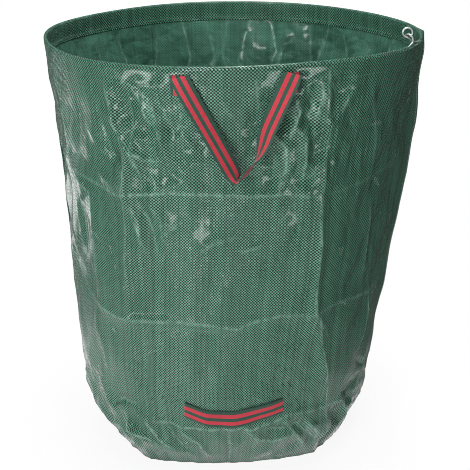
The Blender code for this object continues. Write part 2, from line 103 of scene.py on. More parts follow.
# Creases: lift in millimetres (minus is a valley), width in millimetres, and the run of the
# crease as angle in degrees and height in millimetres
CREASES = (
    # pressed across the whole bag when it was folded
    (3.5, 34, ((-180, 552), (-150, 546), (-128, 534), (-110, 548), (-90, 547), (-75, 545),
               (-62, 536))),
    (1.6, 29, ((-62, 536), (-40, 545), (-15, 548))),
    (3.5, 17, ((-172, 375), (-158, 340), (-145, 309), (-133, 298), (-125, 301), (-119, 305),
              (-107, 310), (-97, 309), (-87, 301), (-81, 315), (-72, 325), (-62, 319))),
    (2.7, 17, ((-62, 319), (-55, 325), (-44, 322), (-28, 308), (-8, 304))),
    (-2.2, 22, ((-119, 291), (-107, 296), (-97, 295), (-88, 290))),
    (4.3, 19, ((-118, 101), (-112, 103), (-104, 100), (-90, 99), (-83, 102), (-80, 96),
              (-70, 112), (-65, 120))),
    (2.7, 22, ((-65, 120), (-45, 112), (-20, 104), (0, 100))),
    # ridges of the two front corners
    (3.0, 14, ((-128, 745), (-127.5, 715), (-126, 673), (-125, 631), (-122.5, 611),
              (-124.5, 534), (-124.5, 505), (-126, 316))),
    (4.1, 17, ((-62, 660), (-63, 528), (-62, 454), (-61.5, 393), (-60.5, 321), (-58.5, 311),
              (-53.5, 230), (-50, 161), (-47, 60))),
    # hanging folds under the rim on the left
    (-4.6, 17, ((-121, 735), (-119.5, 660), (-120.5, 610))),
    (4.1, 14, ((-117, 738), (-113.5, 682), (-111, 640))),
    (-2.4, 14, ((-113, 730), (-109, 675), (-107, 640))),
    (3.2, 12, ((-121, 634), (-119, 592), (-118.5, 568))),
    (2.7, 12, ((-138, 641), (-135.5, 616))),
    (2.2, 12, ((-134, 610), (-131.5, 598))),
    (-2.7, 19, ((-133, 720), (-131, 650), (-128, 590))),
    (3.0, 22, ((-128, 538), (-131, 548), (-137, 560))),
    # left side
    (8.0, 50, ((-159, 700), (-154.5, 626), (-157, 562), (-149, 529), (-143, 515), (-142, 429),
              (-142, 372), (-142.5, 316))),
    (-4.3, 22, ((-165, 700), (-161, 600), (-160, 540), (-155, 500), (-153, 445), (-151, 402),
               (-144.5, 352))),
    (3.2, 24, ((-172, 372), (-163, 336), (-165, 206))),
    (4.1, 17, ((-143, 244), (-139.5, 180))),
    (2.7, 14, ((-144.5, 295), (-146, 247))),
    # front panel
    (-5.4, 19, ((-120, 525), (-116.5, 494), (-114.5, 441))),
    (3.2, 19, ((-123, 520), (-120, 470), (-118.5, 438))),
    (2.2, 17, ((-117, 532), (-113, 500), (-111.5, 450))),
    (2.7, 17, ((-113, 466), (-106, 497))),
    (2.7, 17, ((-99.5, 447), (-95.5, 463), (-89, 472))),
    (2.2, 14, ((-87, 445), (-80.5, 458))),
    (-3.2, 14, ((-118.5, 297), (-119.5, 177))),
    (3.5, 14, ((-79, 650), (-75, 623), (-74.5, 586), (-76.5, 556))),
    (-2.4, 19, ((-81, 640), (-78, 610), (-78, 580))),
    (2.7, 17, ((-84, 740), (-83, 689))),
    (2.2, 14, ((-92, 696), (-90, 675))),
    (2.7, 14, ((-72.5, 658), (-70, 642))),
    (-2.7, 24, ((-77, 484), (-71.5, 528))),
    (-2.2, 22, ((-71.5, 528), (-68.5, 465))),
    # dents of the two upper corners
    (-6.0, 20, ((-117, 715), (-113, 690), (-112, 655))),
    (5.0, 12, ((-119.5, 728), (-116, 700), (-114.5, 662))),
    (-5.0, 16, ((-107, 722), (-104, 690), (-106, 655))),
    (4.4, 11, ((-124, 640), (-121, 618), (-117, 604), (-112, 600))),
    (-6.0, 20, ((-70, 722), (-67.5, 690), (-69, 650))),
    (5.0, 12, ((-73.5, 715), (-71.5, 680), (-74, 640))),
    (4.6, 11, ((-66, 735), (-65, 700), (-66.5, 668))),
    (-4.6, 14, ((-78, 700), (-76, 668), (-79, 640))),
    # beside the right corner
    (-3.5, 12, ((-60.8, 742), (-61.2, 662))),
    (3.5, 12, ((-63.6, 748), (-63.6, 662))),
    (-3.5, 14, ((-67, 655), (-65.5, 558))),
    (2.7, 14, ((-70, 660), (-69, 570))),
    (4.1, 17, ((-58.5, 674), (-55.5, 707))),
    (-2.2, 19, ((-57, 690), (-52, 640), (-50, 600))),
    (2.4, 24, ((-47, 700), (-42, 640), (-40, 560))),
    # right side
    (3.5, 19, ((-38.5, 499), (-35, 417), (-35, 353))),
    (5.4, 22, ((-28, 327), (-25.5, 265), (-29.5, 192))),
    (-5.4, 14, ((-26.5, 162), (-19, 140))),
    (-4.1, 19, ((-41, 113), (-24, 133))),
    (3.2, 17, ((-59, 312), (-55, 290), (-52, 262))),
    (-3.2, 22, ((-20, 620), (-16, 520), (-18, 430))),
    # crumples of the foot
    (-6.8, 16, ((-138, 109), (-131, 130), (-124.5, 132))),
    (8.0, 19, ((-130, 107), (-128.5, 71), (-121, 65), (-115.5, 42))),
    (-7.3, 19, ((-134, 95), (-133, 60), (-127, 45))),
    (5.5, 17, ((-142, 85), (-138, 55), (-133, 30))),
    (-9.5, 18, ((-88.5, 92), (-87.5, 40), (-88, 0))),
    (4.7, 14, ((-67, 109), (-53.5, 21))),
    (-7.3, 14, ((-61, 92), (-47, 30))),
    (-10.8, 20, ((-44.5, 114), (-41.5, 70), (-43, 0))),
    (6.2, 17, ((-37, 100), (-33, 50), (-34, 10))),
    (-7.3, 19, ((-150, 80), (-146, 40), (-148, 0))),
    (-7.3, 19, ((-25, 70), (-22, 30), (-23, 0))),
    (7.0, 15, ((-121, 104), (-117, 66), (-111, 40))),
    (-7.0, 13, ((-113, 96), (-109, 62), (-104, 36))),
    (6.0, 14, ((-107, 92), (-100, 60), (-97, 30))),
    (6.0, 14, ((-82, 96), (-76, 70), (-70, 62), (-62, 74))),
    (-6.4, 13, ((-75, 92), (-67, 88), (-60, 96))),
    (6.6, 14, ((-58, 96), (-52, 66), (-50, 30))),
    # far side, seen over the rim and from behind
    (3.5, 31, ((180, 552), (150, 548), (120, 536), (95, 548), (60, 540), (30, 548), (10, 548))),
    (3.2, 19, ((180, 310), (150, 300), (120, 306), (90, 300), (62, 316), (35, 306), (8, 304))),
    (4.1, 22, ((175, 104), (140, 98), (118, 108), (92, 96), (60, 106), (30, 100), (4, 100))),
    (3.5, 17, ((118, 720), (121, 560), (119, 330), (122, 80))),
    (3.5, 17, ((62, 720), (59, 560), (61, 330), (58, 80))),
    (-4.1, 22, ((100, 720), (97, 640), (101, 560))),
    (4.4, 20, ((109, 725), (106, 650), (110, 580))),
    (4.1, 18, ((77, 730), (74, 660), (78, 590))),
    (-4.4, 20, ((92, 728), (94, 650), (90, 570))),
    (3.6, 16, ((54, 728), (58, 650), (53, 590))),
    (3.8, 22, ((84, 725), (88, 640), (85, 590))),
    (-4.1, 24, ((70, 700), (74, 620), (71, 560))),
    (3.2, 19, ((135, 710), (131, 640), (137, 570))),
    (-3.5, 22, ((147, 700), (142, 620))),
    (3.2, 19, ((48, 715), (44, 640), (49, 570))),
    (-3.5, 22, ((34, 700), (38, 610))),
    (3.0, 17, ((22, 725), (27, 660))),
    (-6.0, 20, ((92, 60), (90, 0))),
    (-6.0, 18, ((40, 70), (43, 0))),
    (-6.0, 18, ((141, 80), (137, 0))),
)

# How much each band of the wall was crumpled by handling, round the bag in degrees
FOOT_CRUMPLES = ((-180, 1.3), (-140, 2.0), (-105, 1.3), (-65, 1.5), (-40, 1.9), (0, 0.9),
                 (90, 1.4), (180, 1.3))
MIDDLE_CRUMPLES = ((-180, 0.3), (-140, 0.25), (-115, 0.4), (-75, 0.3), (-50, 0.35), (0, 0.15),
                   (60, 0.7), (180, 0.3))
TOP_CRUMPLES = ((-180, 0.5), (-155, 0.2), (-137, 0.3), (-124, 2.1), (-110, 1.8), (-94, 0.7),
                (-78, 1.5), (-66, 2.2), (-50, 0.8), (0, 0.1), (30, 0.8), (60, 0.6), (90, 0.2),
                (120, 0.5), (180, 0.5))

# Route of a carrying handle: share of half its spacing, share of its drop, twist in degrees
HANDLE_ROUTE = (
    (-1.000, 0.010, 0), (-0.930, 0.085, 12), (-0.800, 0.225, 21), (-0.550, 0.485, 25),
    (-0.300, 0.745, 27), (-0.120, 0.935, 30), (-0.030, 1.030, 42), (0.020, 1.075, 80),
    (0.120, 1.045, 108), (0.230, 0.960, 112), (0.330, 0.875, 100), (0.405, 0.805, 78),
    (0.475, 0.700, 52), (0.550, 0.560, 32), (0.660, 0.410, 25), (0.780, 0.255, 22),
    (0.910, 0.085, 12), (1.000, -0.030, 0),
)

# Route of the tipping handle: share of half its span, share of its sag
LOWER_ROUTE = (
    (-1.00, 0.00), (-0.78, 0.46), (-0.56, 0.82), (-0.32, 1.00), (-0.05, 1.00), (0.19, 0.76),
    (0.52, 0.36), (0.80, 0.11), (1.00, 0.00),
)

# Wire beside the slit, in radii of the eye from its middle: across, back, up
HOOK_ROUTE = (
    (-0.31, 0.75, -1.19), (-0.25, 0.56, -0.69), (0.00, 0.06, -0.40), (0.31, -0.31, -0.35),
    (0.75, -0.56, -0.62), (1.06, -0.69, -1.12), (1.06, -0.88, -1.81), (0.62, -1.38, -2.31),
    (0.06, -2.31, -2.56),
)
STEM_ROUTE = (
    (2.56, 3.25, -2.56), (1.81, 2.00, -2.31), (1.06, 0.94, -1.88), (0.56, 0.31, -1.40),
)

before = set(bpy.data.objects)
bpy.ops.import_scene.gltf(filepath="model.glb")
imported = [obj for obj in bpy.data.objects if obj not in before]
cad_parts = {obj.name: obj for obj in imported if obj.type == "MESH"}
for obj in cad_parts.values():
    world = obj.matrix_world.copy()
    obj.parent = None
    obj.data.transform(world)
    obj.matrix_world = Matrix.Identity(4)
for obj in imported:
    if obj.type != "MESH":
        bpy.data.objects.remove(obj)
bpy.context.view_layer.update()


# Form of the sheet

def smoothstep(value):
    value = np.clip(value, 0.0, 1.0)
    return value * value * (3 - 2 * value)


def lean(height):
    """Sideways place of the bag's middle at a height."""
    return -FLOOR_LEAN * (1 - smoothstep((height - LEAN_START) / (LEAN_END - LEAN_START)))


def fold_radius(height):
    """Radius of the outer face at an upright fold."""
    share = np.clip((height - FOOT_EDGE) / (HEEL_HEIGHT - FOOT_EDGE), 0, 1)
    heel = FLOOR_RADIUS + (HEEL_RADIUS - FLOOR_RADIUS) * (1 - (1 - share) ** 1.8)
    rise = np.clip((height - HEEL_HEIGHT) / (HEM_BOTTOM - HEEL_HEIGHT), 0, 1)
    side = (HEM_BOTTOM_RADIUS - HEEL_RADIUS) * rise + BARREL * np.sin(math.pi * rise)
    hem_rise = np.clip((height - HEM_BOTTOM) / (BAG_HEIGHT - HEM_UPRIGHT - HEM_BOTTOM), 0, 1)
    return heel + side + (RIM_RADIUS - HEM_BOTTOM_RADIUS) * hem_rise


def folds(height):
    """Angles of the upright folds at a height, in degrees, round from the far left."""
    left = np.interp(height, *zip(*LEFT_FOLD))
    right = np.interp(height, *zip(*RIGHT_FOLD))
    return (-180 + 0 * left, left, right, 0 * left, 60 + 0 * left, 120 + 0 * left, 180 + 0 * left)


def between_folds(angle, height):
    """Dent of a straight board between the two folds on either side, as a share of the radius."""
    degrees = np.degrees(angle)
    dent = np.zeros_like(degrees)
    edges = folds(height)
    for low, high in zip(edges, edges[1:]):
        half = np.radians(high - low) / 2
        off_middle = np.radians(degrees - (low + high) / 2)
        inside = (degrees >= low) & (degrees <= high)
        chord = 1 - np.cos(half) / np.cos(np.clip(off_middle, -half, half))
        dent = np.where(inside, chord, dent)
    return dent


def seam_pinch(angle, radius, height):
    """How far the stiff side seam stands out; it stands out furthest just below the hem."""
    reach = np.abs((angle + math.pi) % (2 * math.pi) - math.pi) * radius
    high = smoothstep((height - 0.35) / 0.25) * smoothstep((BAG_HEIGHT - height) / 0.04)
    return (SEAM_PINCH + 0.005 * high) * np.clip(1 - reach / SEAM_SPREAD, 0, 1)


def rim_wave(angle, height):
    """How far the waving hoop lifts the sheet."""
    degrees = np.degrees(angle)
    lift = np.zeros_like(degrees)
    for middle, rise, spread in RIM_WAVES:
        away = (degrees - middle + 180) % 360 - 180
        lift = lift + rise * np.exp(-(away / spread) ** 2)
    return lift * smoothstep((height - 0.40) / 0.32)


def along_crease(across, up, run):
    """Distance from a crease's run, and how far along it the nearest place is, from 0 to 1."""
    nearest = np.full_like(across, 9.0)
    place = np.zeros_like(across)
    pieces = len(run) - 1
    for index in range(pieces):
        (x0, z0), (x1, z1) = run[index], run[index + 1]
        dx, dz = x1 - x0, z1 - z0
        share = np.clip(((across - x0) * dx + (up - z0) * dz) / (dx * dx + dz * dz), 0, 1)
        reach = np.hypot(across - x0 - share * dx, up - z0 - share * dz)
        closer = reach < nearest
        nearest = np.where(closer, reach, nearest)
        place = np.where(closer, (index + share) / pieces, place)
    return nearest, place


def handled(angle, height):
    """How much a place was crumpled by handling."""
    degrees = np.degrees(angle)
    foot, middle, top = (np.interp(degrees, *zip(*band)) for band in (
        FOOT_CRUMPLES, MIDDLE_CRUMPLES, TOP_CRUMPLES))
    low = foot + (middle - foot) * smoothstep((height - 0.09) / 0.08)
    return low + (top - low) * smoothstep((height - 0.50) / 0.10)


def handled_creases(count, lengths, widths, lifts, seed):
    """Straight creases at random, as a much handled stiff sheet gets them."""
    dice = np.random.RandomState(seed)
    made = []
    while len(made) < count:
        angle, height = dice.uniform(-180, 180), dice.uniform(0.0, 0.75)
        length = dice.uniform(*lengths)
        steep = dice.choice((0.25, 0.8, 1.2, 1.45, 1.75, 2.2, 2.8)) + dice.normal(0, 0.2)
        wide = dice.uniform(*widths)
        lift = dice.choice((-1, 1)) * dice.uniform(*lifts)
        x = math.radians(angle) * ROUND
        lift *= float(handled(np.array(math.radians(angle)), np.array(height)))
        reach = Vector((math.cos(steep), math.sin(steep))) * length / 2
        run = [(x - reach.x, height - reach.y), (x + reach.x, height + reach.y)]
        made.append((lift / 1000, wide / 1000, run, 0.0, 0.0))
    return made


def crumple_knots(spacing, seed):
    """Knots of a crumple, each with its place, its turn and how much it is drawn out upwards."""
    dice = np.random.RandomState(seed)
    around = round(2 * math.pi * ROUND / spacing)
    up = round(BAG_HEIGHT / spacing) + 2
    knots = []
    for column in range(-2, around + 2):
        for row in range(-1, up):
            dice.seed(seed + (column % around) * 97 + row)
            x = (column + dice.uniform(-0.5, 0.5)) * spacing - math.pi * ROUND
            z = (row + dice.uniform(-0.5, 0.5)) * spacing
            knots.append((x, z, dice.uniform(-0.6, 0.6), dice.uniform(0.55, 1.0)))
    return knots


def crumple(across, height, knots, spacing):
    """Flat facets with sharp creases between them, from 0 at the knots to about 1."""
    depth = np.full_like(across, 1.2)
    reach = 1.5 * spacing
    for x, z, turn, drawn in knots:
        near = np.nonzero((np.abs(across - x) < reach) & (np.abs(height - z) < reach))[0]
        if len(near) == 0:
            continue
        right, up = across[near] - x, (height[near] - z) * drawn
        first = np.abs(right * math.cos(turn) + up * math.sin(turn))
        second = np.abs(up * math.cos(turn) - right * math.sin(turn))
        far = (np.maximum(first, second) + 0.45 * np.minimum(first, second)) / spacing
        depth[near] = np.minimum(depth[near], far)
    return depth


def all_creases():
    """Every crease as lift, width, run, share of lift at its ends, and how much it whitens; that
    white is partly real whitening and partly a painted highlight.
    """
    # the white along a crease is strongest on ridges: partly real whitening, partly a painted
    # highlight
    made = [
        (tall / 1000, wide / 1000, [(math.radians(a) * ROUND, h / 1000) for a, h in run], 0.3,
         min(max(tall, -0.4 * tall) / 5, 0.9))
        for tall, wide, run in CREASES
    ]
    made += handled_creases(190, (0.05, 0.15), (9, 26), (0.7, 2.4), 27)
    made += handled_creases(420, (0.015, 0.06), (3, 8), (0.2, 0.5), 5)
    whole = 2 * math.pi * ROUND
    shifted = []
    for lift, wide, run, ends, crease_white_and_highlight in made:
        for turn in (-whole, 0, whole):
            moved = [(x + turn, z) for x, z in run]
            low, high = min(x for x, _ in moved) - wide, max(x for x, _ in moved) + wide
            if high > -whole / 2 and low < whole / 2:
                floor, top = min(z for _, z in moved) - wide, max(z for _, z in moved) + wide
                shifted.append((lift, wide, moved, ends, crease_white_and_highlight, (low, high, floor, top)))
    return shifted


ALL_CREASES = all_creases()

# Facets of the handled sheet: the distance between their knots, and how far they lift it
COARSE, FINE = 0.044, 0.021
COARSE_LIFT, FINE_LIFT = 0.0080, 0.0013
COARSE_KNOTS = crumple_knots(COARSE, 11)
FINE_KNOTS = crumple_knots(FINE, 400)


def crease_lift(angle, height):
    """How far creases and soft waves lift the sheet, and how much it is whitened along creases
    there, partly real whitening and partly a painted highlight.
    """
    shape = np.shape(angle)
    across, height = np.ravel(angle) * ROUND, np.ravel(height)
    # soft waves
    lift = 0.0016 * np.sin(across * 31 + height * 17) * np.sin(height * 37 + 1.3)
    lift += 0.0012 * np.sin(across * 58 - height * 41 + 0.7)
    # crumples, about as far in as out
    much = handled(across / ROUND, height)
    lift += COARSE_LIFT * much * (crumple(across, height, COARSE_KNOTS, COARSE) - 0.4)
    lift += FINE_LIFT * much * (crumple(across, height, FINE_KNOTS, FINE) - 0.4)
    crease_white_and_highlight = np.zeros_like(across)
    for tall, wide, run, end_share, white, (low, high, floor, top) in ALL_CREASES:
        near = np.nonzero((across > low) & (across < high) & (height > floor) & (height < top))[0]
        if len(near) == 0:
            continue
        reach, place = along_crease(across[near], height[near], run)
        ends = end_share + (1 - end_share) * np.sin(math.pi * place) ** 0.6
        lift[near] += tall * ends * np.clip(1 - reach / wide, 0, 1) ** 1.25
        # a thin white line along each listed crease: partly real whitening, partly a painted
        # highlight
        if white:
            mark = white * ends * np.exp(-(reach / 0.0025) ** 2)
            crease_white_and_highlight[near] = np.maximum(crease_white_and_highlight[near], mark)
    # the sewn foot and the hem over its hoop hold the sheet smoother
    lift *= 0.45 + 0.55 * smoothstep((height - 0.004) / 0.035)
    fade = 1 - smoothstep((height - 0.690) / 0.060)
    lift = lift * (0.20 + 0.80 * fade) * smoothstep((BAG_HEIGHT - 0.006 - height) / 0.02)
    return lift.reshape(shape), crease_white_and_highlight.reshape(shape)


def sheet_point(angle, height, inset=0.0, pinch=1.0):
    """Points on the sheet's outer face, or behind it by an inset."""
    angle = np.asarray(angle, float)
    height = np.asarray(height, float) + 0 * angle
    radius = fold_radius(height)
    flatness = np.interp(height, *zip(*FLATNESS))
    lift, _ = crease_lift(angle, height)
    radius = radius * (1 - flatness * between_folds(angle, height)) + lift
    radius = radius + seam_pinch(angle, radius, height) * pinch - inset
    x = CENTRE_X + lean(height) + radius * np.cos(angle)
    return np.stack((x, radius * np.sin(angle), height + rim_wave(angle, height)), axis=-1)


def sheet_normal(angle, height):
    """Outward directions of the sheet."""
    step = 0.003
    beside = sheet_point(angle + step / 0.3, height) - sheet_point(angle - step / 0.3, height)
    above = sheet_point(angle, height + step) - sheet_point(angle, height - step)
    normal = np.cross(beside, above)
    return normal / np.linalg.norm(normal, axis=-1, keepdims=True)


# Colours and finishes

def colour(code):
    """Linear colour of an sRGB hex code."""
    parts = [int(code[index:index + 2], 16) / 255 for index in (0, 2, 4)]
    linear = [p / 12.92 if p <= 0.04045 else ((p + 0.055) / 1.055) ** 2.4 for p in parts]
    return (*linear, 1.0)


def add_node(tree, kind, inputs=(), **settings):
    """Add a node; each of inputs is a socket with its value or the output that feeds it."""
    node = tree.nodes.new(kind)
    for name, value in settings.items():
        setattr(node, name, value)
    for socket, value in dict(inputs).items():
        if isinstance(value, bpy.types.NodeSocket):
            tree.links.new(value, node.inputs[socket])
        else:
            node.inputs[socket].default_value = value
    return node


def new_material(name):
    material = bpy.data.materials.new(name)
    material.use_nodes = True
    tree = material.node_tree
    tree.nodes.clear()
    shader = add_node(tree, "ShaderNodeBsdfPrincipled")
    add_node(tree, "ShaderNodeOutputMaterial", {"Surface": shader.outputs[0]})
    return material, tree, shader


def woven_polypropylene(name, warp, weft_and_painted_shade, arching=0.00045, tape=0.0026):
    """Flat polypropylene tapes in plain weave, with a thin clear film melted over them.

    The tapes are 2 mm wide, drawn at 2.6 mm so that they show; arching is how far they stand
    up from the ones that they cross. The warp lies smooth and catches the light, the weft is
    duller, and the weft colour is partly painted shade, darker than the tape, for the gaps between
    the shiny warps. The film gives the whole sheet a plastic gloss, and creases whiten it; that
    white is partly real whitening and partly a painted highlight on the crease ridges.
    """
    material, tree, shader = new_material(name)
    cloth = add_node(tree, "ShaderNodeUVMap", uv_map="cloth")
    tapes = add_node(tree, "ShaderNodeVectorMath", {0: cloth.outputs[0], 3: 1 / tape},
                     operation="SCALE")
    split = add_node(tree, "ShaderNodeSeparateXYZ", {0: tapes.outputs[0]})
    column = add_node(tree, "ShaderNodeMath", {0: split.outputs[0]}, operation="FLOOR")
    row = add_node(tree, "ShaderNodeMath", {0: split.outputs[1]}, operation="FLOOR")
    both = add_node(tree, "ShaderNodeMath", {0: column.outputs[0], 1: row.outputs[0]})
    halved = add_node(tree, "ShaderNodeMath", {0: both.outputs[0], 1: 0.5}, operation="MULTIPLY")
    odd = add_node(tree, "ShaderNodeMath", {0: halved.outputs[0]}, operation="FRACT")
    warp_up = add_node(tree, "ShaderNodeMath", {0: odd.outputs[0], 1: 0.25},
                       operation="GREATER_THAN")
    # each tape arches over the ones that it crosses
    arches = []
    for axis in (0, 1):
        share = add_node(tree, "ShaderNodeMath", {0: split.outputs[axis]}, operation="FRACT")
        turn = add_node(tree, "ShaderNodeMath", {0: share.outputs[0], 1: math.pi},
                        operation="MULTIPLY")
        arches.append(add_node(tree, "ShaderNodeMath", {0: turn.outputs[0]}, operation="SINE"))
    arch = add_node(tree, "ShaderNodeMix", {0: warp_up.outputs[0], 2: arches[0].outputs[0],
                                            3: arches[1].outputs[0]})
    # no two tapes are quite the same green
    tape_of_two = add_node(tree, "ShaderNodeMix", {0: warp_up.outputs[0], 2: row.outputs[0],
                                                   3: column.outputs[0]})
    batch = add_node(tree, "ShaderNodeTexWhiteNoise", {"W": tape_of_two.outputs[0]},
                     noise_dimensions="1D")
    shade = add_node(tree, "ShaderNodeMapRange", {0: batch.outputs[0], 3: 0.80, 4: 1.20})
    # the weft colour is partly painted shade: darker than the tape, for the gaps between the shiny
    # warps
    base = add_node(tree, "ShaderNodeMix", {0: warp_up.outputs[0], 6: colour(weft_and_painted_shade),
                                            7: colour(warp)}, data_type="RGBA")
    toned = add_node(tree, "ShaderNodeVectorMath", {0: base.outputs[2], 3: shade.outputs[0]},
                     operation="SCALE")
    # creases whiten the film; the white along their ridges is partly real whitening and partly a
    # painted highlight
    crease_white_and_highlight = add_node(tree, "ShaderNodeAttribute", attribute_name="crease_white_and_highlight")
    patchy = add_node(tree, "ShaderNodeTexNoise", {"Scale": 60.0, "Detail": 4.0})
    patches = add_node(tree, "ShaderNodeMapRange", {0: patchy.outputs[0], 1: 0.35, 2: 0.68,
                                                    3: 0.0, 4: 0.65})
    white_and_highlight_share = add_node(tree, "ShaderNodeMath", {0: crease_white_and_highlight.outputs["Fac"],
                                                 1: patches.outputs[0]}, operation="MULTIPLY")
    final = add_node(tree, "ShaderNodeMix", {0: white_and_highlight_share.outputs[0], 6: toned.outputs[0],
                                             7: colour("8FB8A6")}, data_type="RGBA")
    tree.links.new(final.outputs[2], shader.inputs["Base Color"])
    # small crumples too fine for the mesh, then the weave
    place = add_node(tree, "ShaderNodeTexCoord")
    facets = add_node(tree, "ShaderNodeTexVoronoi", {0: place.outputs["Object"],
                                                     "Scale": 38.0, "Randomness": 1.0},
                      feature="DISTANCE_TO_EDGE")
    ripple = add_node(tree, "ShaderNodeTexNoise", {0: place.outputs["Object"], "Scale": 26.0,
                                                   "Detail": 4.0, "Distortion": 0.4})
    relief = add_node(tree, "ShaderNodeMath", {0: facets.outputs["Distance"],
                                               1: ripple.outputs[0]})
    soft = add_node(tree, "ShaderNodeBump", {"Strength": 0.75, "Distance": 0.004,
                                             "Height": relief.outputs[0]})
    bumps = add_node(tree, "ShaderNodeBump", {"Strength": 1.0, "Distance": arching,
                                              "Height": arch.outputs[0],
                                              "Normal": soft.outputs[0]})
    tree.links.new(bumps.outputs[0], shader.inputs["Normal"])
    dull = add_node(tree, "ShaderNodeMapRange", {0: ripple.outputs[0], 1: 0.3, 2: 0.7,
                                                 3: 0.80, 4: 0.95})
    gloss = add_node(tree, "ShaderNodeMapRange", {0: ripple.outputs[0], 1: 0.3, 2: 0.7,
                                                  3: 0.17, 4: 0.28})
    rough = add_node(tree, "ShaderNodeMix", {0: warp_up.outputs[0], 2: dull.outputs[0],
                                             3: gloss.outputs[0]})
    tree.links.new(rough.outputs[0], shader.inputs["Roughness"])
    shader.inputs["IOR"].default_value = 1.49
    shader.inputs["Specular IOR Level"].default_value = 0.5
    # the clear film lies smoothly over the tapes
    shader.inputs["Coat Weight"].default_value = 0.30
    shader.inputs["Coat Roughness"].default_value = 0.09
    return material


def striped_webbing():
    """Polypropylene webbing woven with five stripes; the yarns make fine ribs across it.

    The ribs are 1.1 mm apart, drawn at 2 mm so that they show.
    """
    material, tree, shader = new_material("striped polypropylene webbing")
    run = add_node(tree, "ShaderNodeUVMap", uv_map="cloth")
    split = add_node(tree, "ShaderNodeSeparateXYZ", {0: run.outputs[0]})
    stripes = add_node(tree, "ShaderNodeValToRGB", {0: split.outputs[0]})
    ramp = stripes.color_ramp
    ramp.interpolation = "CONSTANT"
    green, red = colour("25463A"), colour("B3303E")
    ramp.elements[0].color = green
    ramp.elements[1].position = 0.15
    ramp.elements[1].color = red
    for position, shade in ((0.36, green), (0.56, red), (0.79, green)):
        ramp.elements.new(position).color = shade
    ribs = add_node(tree, "ShaderNodeMath", {0: split.outputs[1], 1: 2 * math.pi / 0.002},
                    operation="MULTIPLY")
    yarns = add_node(tree, "ShaderNodeMath", {0: split.outputs[0], 1: 2 * math.pi * 16},
                     operation="MULTIPLY")
    wave = add_node(tree, "ShaderNodeMath", {0: ribs.outputs[0]}, operation="SINE")
    grain = add_node(tree, "ShaderNodeMath", {0: yarns.outputs[0]}, operation="SINE")
    weave = add_node(tree, "ShaderNodeMath", {0: wave.outputs[0], 1: grain.outputs[0]},
                     operation="MULTIPLY")
    tone = add_node(tree, "ShaderNodeMapRange", {0: weave.outputs[0], 1: -1.0, 2: 1.0,
                                                 3: 0.80, 4: 1.12})
    toned = add_node(tree, "ShaderNodeVectorMath", {0: stripes.outputs[0], 3: tone.outputs[0]},
                     operation="SCALE")
    tree.links.new(toned.outputs[0], shader.inputs["Base Color"])
    bumps = add_node(tree, "ShaderNodeBump", {"Strength": 0.5, "Distance": 0.0004,
                                              "Height": weave.outputs[0]})
    tree.links.new(bumps.outputs[0], shader.inputs["Normal"])
    shader.inputs["Roughness"].default_value = 0.62
    shader.inputs["Specular IOR Level"].default_value = 0.3
    shader.inputs["Sheen Weight"].default_value = 0.1
    return material


def zinc_plated_wire():
    """Drawn spring steel with a bright zinc plating, slightly clouded."""
    material, tree, shader = new_material("zinc plated spring steel")
    place = add_node(tree, "ShaderNodeTexCoord")
    cloud = add_node(tree, "ShaderNodeTexNoise", {0: place.outputs["Object"], "Scale": 260.0,
                                                  "Detail": 3.0})
    tint = add_node(tree, "ShaderNodeMix", {0: cloud.outputs[0], 6: colour("B9BEC0"),
                                            7: colour("E4E7E8")}, data_type="RGBA")
    tree.links.new(tint.outputs[2], shader.inputs["Base Color"])
    rough = add_node(tree, "ShaderNodeMapRange", {0: cloud.outputs[0], 3: 0.28, 4: 0.48})
    tree.links.new(rough.outputs[0], shader.inputs["Roughness"])
    shader.inputs["Metallic"].default_value = 0.8
    return material


def sewing_thread(name, code):
    """Twisted polyester sewing thread: a soft sheen, with the twist too fine to show."""
    material, tree, shader = new_material(name)
    place = add_node(tree, "ShaderNodeTexCoord")
    fuzz = add_node(tree, "ShaderNodeTexNoise", {0: place.outputs["Object"], "Scale": 900.0})
    tone = add_node(tree, "ShaderNodeMapRange", {0: fuzz.outputs[0], 3: 0.85, 4: 1.15})
    toned = add_node(tree, "ShaderNodeVectorMath", {0: colour(code)[:3], 3: tone.outputs[0]},
                     operation="SCALE")
    tree.links.new(toned.outputs[0], shader.inputs["Base Color"])
    shader.inputs["Roughness"].default_value = 0.5
    return material


# Making pieces

def grid_piece(name, columns, rows, place, size, material):
    """Cut a flat sheet of quads and lay each of its points where place says.

    place takes the shares across and along the sheet. The piece's own cloth map is in metres:
    size is the sheet's width and length, or a function that gives both at any shares.
    """
    shape = bmesh.new()
    bmesh.ops.create_grid(shape, x_segments=columns, y_segments=rows, size=0.5)
    mesh = bpy.data.meshes.new(name)
    shape.to_mesh(mesh)
    shape.free()
    flat = np.empty(len(mesh.vertices) * 3)
    mesh.vertices.foreach_get("co", flat)
    flat = flat.reshape(-1, 3)[:, :2] + 0.5
    corners = np.empty(len(mesh.loops), np.int32)
    mesh.loops.foreach_get("vertex_index", corners)
    cloth = mesh.uv_layers.new(name="cloth")
    drawn = size(flat[:, 0], flat[:, 1]) if callable(size) else flat * size
    cloth.data.foreach_set("uv", drawn[corners].astype(np.float32).ravel())
    mesh.vertices.foreach_set("co", place(flat[:, 0], flat[:, 1]).astype(np.float32).ravel())
    mesh.update()
    mesh.shade_smooth()
    piece = bpy.data.objects.new(name, mesh)
    bpy.context.scene.collection.objects.link(piece)
    mesh.materials.append(material)
    return piece


def thicken(piece, thickness, offset=-1.0, back=None):
    """Give a sheet its thickness, and its back a finish of its own where there is one."""
    solid = piece.modifiers.new("thickness", "SOLIDIFY")
    solid.thickness = thickness
    solid.offset = offset
    solid.use_even_offset = True
    if back:
        piece.data.materials.append(back)
        solid.material_offset = 1


